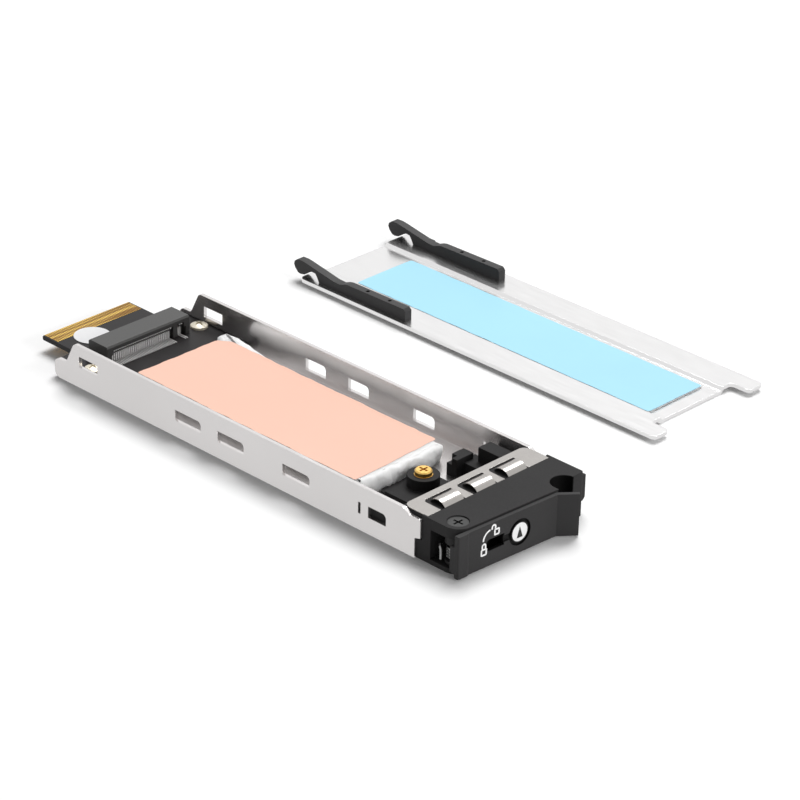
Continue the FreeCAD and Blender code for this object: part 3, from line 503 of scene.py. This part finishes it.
def ink(name, path, closed=False):
    """A printed line along a path of (along, height) points."""
    points, faces = [], []
    count = len(path)
    for i, (along, height) in enumerate(path):
        before = path[i - 1] if (i or closed) else path[i]
        after = path[(i + 1) % count] if (i < count - 1 or closed) else path[i]
        run = Vector((after[0] - before[0], after[1] - before[1])).normalized()
        side = Vector((-run.y, run.x)) * INK_LINE / 2
        for sign in (-1, 1):
            for depth in (INK_FOOT, INK_FILM):
                points.append(on_face(along + sign * side.x, height + sign * side.y, FACE_OUT + depth))
    for i in range(count if closed else count - 1):
        a, b = 4 * i, 4 * ((i + 1) % count)
        faces += [(a + 1, b + 1, b + 3, a + 3), (a, a + 2, b + 2, b),
                  (a, b, b + 1, a + 1), (a + 2, a + 3, b + 3, b + 2)]
    if not closed:
        end = 4 * (count - 1)
        faces += [(0, 1, 3, 2), (end, end + 2, end + 3, end + 1)]
    mesh_piece(name, points, faces, white_ink, "handle", smooth=False)


def arc_path(across, height, radius, start, stop, steps=10):
    """Points along an arc about (across, height), from one angle in degrees to the other."""
    turns = [math.radians(start + (stop - start) * k / steps) for k in range(steps + 1)]
    return [(across + radius * math.cos(turn), height + radius * math.sin(turn)) for turn in turns]


def rounded_box(left, low, right, high):
    """Points round a box with rounded corners."""
    path = []
    for across, height, start in ((right, low, -90), (right, high, 0), (left, high, 90), (left, low, 180)):
        middle_across = across + (CORNER_RADIUS if across == left else -CORNER_RADIUS)
        middle_height = height + (CORNER_RADIUS if height == low else -CORNER_RADIUS)
        path += arc_path(middle_across, middle_height, CORNER_RADIUS, start, start + 90, CORNER_STEPS)
    return path


ink("closed_lock_body", rounded_box(2.12, 3.0, 3.3, 4.15), closed=True)
ink("closed_lock_shackle", [(2.3, 4.3)] + arc_path(2.7, 4.85, 0.4, 180, 0) + [(3.1, 4.3)])
ink("turn_arc", arc_path(4.45, 5.75, 1.95, 178, 98))
ink("open_lock_body", rounded_box(5.3, 6.3, 6.35, 7.35), closed=True)
ink("open_lock_shackle", [(5.45, 7.45)] + arc_path(5.03, 8.0, 0.42, 0, 180) + [(4.6, 7.6)])


# ---------------------------------------------------------------- lock rotor
# A moulded button that turns in the handle. Its face is white within a black rim, and an arrow
# is printed on it in black ink.
LOCK_ALONG, LOCK_HEIGHT, WHITE_RADIUS = 11.6, 4.6, 1.86
ROTOR_SHADED, ROTOR_WHITE, RIM_BLACK = (0.80, 0.80, 0.80), (0.88, 0.88, 0.88), (0.006, 0.006, 0.006)
BLACK_INK_DARK, BLACK_INK_LIGHT = (0.010, 0.010, 0.010), (0.016, 0.016, 0.016)
ARROW_FOOT, ARROW_FILM = -0.02, 0.01
ARROW_CORNERS = ((-0.73, -1.12), (0.73, -1.12), (0, 1.16))
ARROW_FACES = [(0, 1, 2), (5, 4, 3), (0, 3, 4, 1), (1, 4, 5, 2), (2, 5, 3, 0)]

rotor = Finish("white_rotor", roughness=0.45)
white_face = round_spot(measured(rotor, along_face) - LOCK_ALONG,
                        measured(rotor, UPRIGHT) - LOCK_HEIGHT, WHITE_RADIUS)
rotor.paint(RIM_BLACK, rotor.between(ROTOR_SHADED, ROTOR_WHITE, rotor.noise(1500)), white_face)
dress("lock_rotor", rotor)

black_ink = Finish("black_ink", roughness=0.5, specular_ior_level=0.3)
black_ink.paint(BLACK_INK_DARK, BLACK_INK_LIGHT, black_ink.noise(3000))
arrow_points = [on_face(LOCK_ALONG + along, LOCK_HEIGHT + height, FACE_OUT + depth)
                for depth in (ARROW_FOOT, ARROW_FILM) for along, height in ARROW_CORNERS]
mesh_piece("rotor_arrow", arrow_points, ARROW_FACES, black_ink, "lock", smooth=False)


# ---------------------------------------------------------------- pivot screw
# The countersunk cross head screw that the handle swings on, in steel with a black oxide finish.
# It goes down into the front moulding.
OXIDE_DARK, OXIDE_LIGHT = (0.016, 0.016, 0.016), (0.030, 0.030, 0.030)
oxide = Finish("black_oxide", metallic=0.3, roughness=0.45, specular_ior_level=0.3)
oxide.paint(OXIDE_DARK, OXIDE_LIGHT, oxide.noise(900))
oxide.edges(0.06)
dress("pivot_screw", oxide)


# ---------------------------------------------------------------- lid plate
# The tray's lid, taken off and lying face down beside it: the same kind of sheet as the pan but
# paler, stepped along both sides.
LID_DULL, LID_BRIGHT = (0.745, 0.74, 0.74), (0.78, 0.775, 0.775)
lid = Finish("pale_plated_sheet", metallic=1.0)
lid_lines = lid.noise(2600, 2.0, 0.5, ROLLED_ALONG)
lid.paint(LID_DULL, LID_BRIGHT, lid.noise(60))
lid.polish(lid_lines, 0.18, 0.23)
lid.edges(0.15, lid_lines, 0.003, 0.4)
dress("lid_plate", lid)


# ---------------------------------------------------------------- lid rails
# Two runners of the black plastic that stand on the lid's sides, each with a hook at its far
# end. They are a little glossier than the front.
glossier = black_moulding("black_plastic_rails", gloss=0.25)
for piece in ("lid_rail_left", "lid_rail_right"):
    dress(piece, glossier)


# ---------------------------------------------------------------- lid pad
# A thin strip of the same white gel, cut to the lid's flat middle and stuck to it by its own
# tack.
LID_PAD_OUTLINE = [(55.5, 6.6), (72.0, 6.6), (72.0, 88.0), (55.5, 88.0)]
LID_PAD_PROFILE, LID_PAD_WOBBLE = [(0.1, 0.82), (-0.05, 0.95), (0.05, 1.12), (0.35, 1.195)], 0.12
lid_gel = slab("lid_gel_slab", LID_PAD_OUTLINE, LID_PAD_PROFILE, LID_PAD_WOBBLE, gel)
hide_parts("lid_pad")


# ---------------------------------------------------------------- lid pad film
# The release film of the lid's pad: pale blue plastic, as smooth and as faintly rippled as the
# peach one, cut to the gel's edge.
LID_FILM_OUTLINE = [(55.6, 6.75), (71.9, 6.75), (71.9, 87.9), (55.6, 87.9)]
LID_FILM_PROFILE, LID_FILM_WOBBLE = [(0, 1.2), (0, 1.25)], 0.1
BLUE_DARK, BLUE_LIGHT = (0.345, 0.67, 0.86), (0.385, 0.75, 0.89)
cyan = Finish("blue_film", roughness=0.4, specular_ior_level=0.4)
cyan.paint(BLUE_DARK, BLUE_LIGHT, cyan.noise(30))
film_ripple(cyan)
lid_cover = slab("lid_cover_film", LID_FILM_OUTLINE, LID_FILM_PROFILE, LID_FILM_WOBBLE, cyan)
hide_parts("lid_pad_film")


# ---------------------------------------------------------------- studio floor
# A matt white sheet, just under the tray, that keeps the soft shadows. Polished metal sees it as
# plain white, as long as the ray has not come off a matt surface first.
FLOOR_REACH_M, FLOOR_DROP = 3.0, 0.02
PLAIN_WHITE, FLOOR_GLOW = 1.0, 0.04


def seen_straight(path, rays):
    """Keeps those rays of a Light Path node that have not come off a matt surface."""
    return rays * (path.other("Diffuse Depth") < 0.5)


sweep = Finish("white_sweep", roughness=0.9, base_color=(0.95, 0.95, 0.95), emission_color=(1, 1, 1),
               emission_strength=FLOOR_GLOW, specular_ior_level=0.0)
path = sweep.add("ShaderNodeLightPath")
in_metal = seen_straight(path, path.other("Is Glossy Ray") + path.other("Is Transmission Ray"))
backdrop = sweep.add("ShaderNodeEmission", {}, {"Strength": PLAIN_WHITE})
shown = sweep.add("ShaderNodeMixShader", {}, {
    "Fac": in_metal, 1: Wire(sweep, sweep.surface.outputs["BSDF"]), 2: backdrop})
sweep.link(shown, sweep.tree.nodes["Material Output"].inputs["Surface"])

floor_mesh = bpy.data.meshes.new("studio_floor")
floor_mesh.from_pydata([(x * FLOOR_REACH_M, y * FLOOR_REACH_M, 0)
                        for x, y in ((-1, -1), (1, -1), (1, 1), (-1, 1))], [], [(0, 1, 2, 3)])
floor_mesh.materials.append(sweep.material)
floor = bpy.data.objects.new("studio_floor", floor_mesh)
floor.location.z = -FLOOR_DROP * MM
bpy.context.scene.collection.objects.link(floor)


# ---------------------------------------------------------------- studio air
# The white room round the tray: plain white to the eye and to polished metal, and a dim fill
# light on everything matt.
FILL_STRENGTH = 0.20
world = bpy.data.worlds.new("studio_air")
world.use_nodes = True
air = NodeTree(world.node_tree)
path = air.add("ShaderNodeLightPath")
seen = seen_straight(path, path.other("Is Camera Ray") + path.other("Is Glossy Ray")
                     + path.other("Is Transmission Ray"))
strength = air.add("ShaderNodeMapRange", {}, {
    "Value": seen, "To Min": FILL_STRENGTH, "To Max": PLAIN_WHITE})
background = air.tree.nodes["Background"]
air.link(strength, background.inputs["Strength"])
air.link((1, 1, 1), background.inputs["Color"])
bpy.context.scene.world = world


# ---------------------------------------------------------------- lamps
# Two square soft boxes: a wide one high on the right, which throws the shadows to the left and
# front, and a small low one in front.
LAMP_OFF_M = 2.4
LIT_SPOT = Vector((0.02, 0.05, 0))


def soft_box(name, turn, height, size, watts):
    """A square lamp turned about Z from +X and raised by those degrees."""
    turn, height = math.radians(turn), math.radians(height)
    lamp = bpy.data.lights.new(name, "AREA")
    lamp.size = size
    lamp.energy = watts
    holder = bpy.data.objects.new(name, lamp)
    holder.location = LIT_SPOT + LAMP_OFF_M * Vector((
        math.cos(turn) * math.cos(height), math.sin(turn) * math.cos(height), math.sin(height)))
    holder.rotation_euler = (LIT_SPOT - holder.location).to_track_quat("-Z", "Y").to_euler()
    bpy.context.scene.collection.objects.link(holder)


soft_box("key_light", 28, 60, 1.4, 56.0)
soft_box("fill_light", 280, 19, 0.9, 27.0)


# ---------------------------------------------------------------- camera
# A long lens off the front left corner, about two thirds of a metre away and looking down at
# some 27 degrees.
LENS_MM, SENSOR_MM = 150.35, 36.0
CAMERA_AT = (-0.396449, -0.362663, 0.303466)
CAMERA_TURN, CAMERA_PITCH, CAMERA_ROLL = (math.radians(angle) for angle in (-45.948, 27.342, 1.165))

backward = Vector((math.sin(CAMERA_TURN) * math.cos(CAMERA_PITCH),
                   -math.cos(CAMERA_TURN) * math.cos(CAMERA_PITCH), math.sin(CAMERA_PITCH)))
level_right = (-backward).cross(UPRIGHT).normalized()
level_up = level_right.cross(-backward)
right = level_right * math.cos(CAMERA_ROLL) + level_up * math.sin(CAMERA_ROLL)
up = level_up * math.cos(CAMERA_ROLL) - level_right * math.sin(CAMERA_ROLL)
camera_data = bpy.data.cameras.new("studio_camera")
camera_data.lens = LENS_MM
camera_data.sensor_width = SENSOR_MM
camera_data.clip_start = 0.01
camera_data.clip_end = 20.0
camera = bpy.data.objects.new("studio_camera", camera_data)
camera.matrix_world = Matrix.Translation(CAMERA_AT) @ Matrix((right, up, backward)).transposed().to_4x4()
bpy.context.scene.collection.objects.link(camera)
bpy.context.scene.camera = camera
bpy.context.scene.view_settings.view_transform = "Standard"
